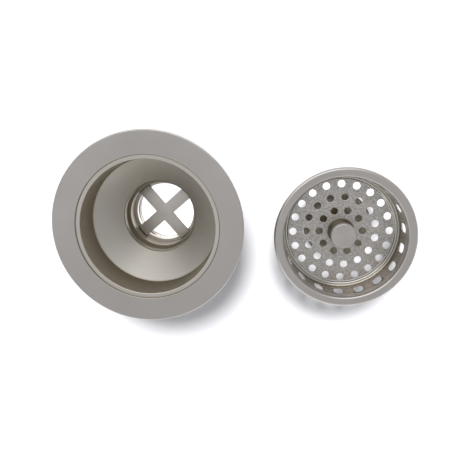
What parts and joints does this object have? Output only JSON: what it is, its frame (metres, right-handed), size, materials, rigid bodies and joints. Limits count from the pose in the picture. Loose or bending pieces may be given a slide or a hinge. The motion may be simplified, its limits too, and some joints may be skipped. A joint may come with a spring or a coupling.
{
  "type": "basket strainer",
  "caption": "Sink basket strainer: flanged bowl with cone throat and cross, lift-out perforated basket with sliding knob and rubber stopper, clamping nuts below.",
  "frame": {"origin": "on the strainer's axis, in the plane of the flange's underside, where the sink deck starts", "axes": "+Z along the strainer's axis, out of the bowl's mouth; +X towards the basket that stands beside it"},
  "size_m": [0.2178, 0.1142, 0.0685],
  "materials": {
    "satin_nickel": "satin nickel on turned brass, faint lathe lines",
    "pressed_nickel": "satin nickel on pressed sheet",
    "plain_brass": "turned, unplated",
    "zinc_casting": "die cast, plain",
    "spring_steel": "bright steel",
    "black_rubber": "moulded, matte",
    "red_fibre": "pressed fibre",
    "white_nylon": "moulded nylon"
  },
  "bodies": {
    "strainer": {"strainer_body": "satin_nickel", "outlet_spud": "satin_nickel", "crossbar": "satin_nickel"},
    "deck_clamp": {"deck_gasket": "black_rubber", "friction_ring": "red_fibre"},
    "locknut": {"locknut": "zinc_casting"},
    "tail_washer": {"tailpiece_washer": "white_nylon"},
    "coupling_nut": {"coupling_nut": "satin_nickel"},
    "detent_balls": {"detent_balls": "spring_steel"},
    "basket": {"basket_cup": "pressed_nickel", "post_bushing": "satin_nickel", "bushing_nut": "plain_brass", "detent_clip": "spring_steel"},
    "stop_ring": {"post_circlip": "spring_steel"},
    "stopper": {"post": "plain_brass", "knob": "satin_nickel", "backing_disc": "pressed_nickel", "stopper_seal": "black_rubber", "stopper_washer": "plain_brass", "stopper_nut": "plain_brass"}
  },
  "joints": [
    {"name": "deck_clamp_slide", "type": "slide", "parent": "strainer", "child": "deck_clamp", "axis": [0, 0, 1], "range_m": [-0.00301, 0.00721]},
    {"name": "locknut_turn", "type": "hinge", "parent": "deck_clamp", "child": "locknut", "pos_m": [0, 0, -0.0167], "axis": [0, 0, 1], "range_deg": [-490.9, 1178.2]},
    {"name": "tail_washer_slide", "type": "slide", "parent": "strainer", "child": "tail_washer", "axis": [0, 0, 1], "range_m": [0, 0.00331]},
    {"name": "coupling_nut_turn", "type": "hinge", "parent": "tail_washer", "child": "coupling_nut", "pos_m": [0, 0, -0.0595], "axis": [0, 0, 1], "range_deg": [0, 540]},
    {"name": "basket_carry", "type": "hinge", "parent": "strainer", "child": "detent_balls", "pos_m": [0.06088, 0, -0.0189], "axis": [0, -1, 0], "range_deg": [0, 207.11]},
    {"name": "basket_level", "type": "hinge", "parent": "detent_balls", "child": "basket", "pos_m": [0.1178, 0, -0.0413], "axis": [0, -1, 0], "range_deg": [-208.11, 1]},
    {"name": "post_slide", "type": "slide", "parent": "basket", "child": "stop_ring", "axis": [0, 0, 1], "range_m": [-0.0023, 0.0085]},
    {"name": "knob_turn", "type": "hinge", "parent": "stop_ring", "child": "stopper", "pos_m": [0.1178, 0, -0.0169], "axis": [0, 0, 1], "continuous": true}
  ],
  "couplings": [
    {"joint": "deck_clamp_slide", "follows": "locknut_turn", "m_per_rad": 0.00035014},
    {"joint": "tail_washer_slide", "follows": "coupling_nut_turn", "m_per_rad": 0.00035014},
    {"joint": "basket_level", "follows": "basket_carry", "ratio": -1}
  ]
}
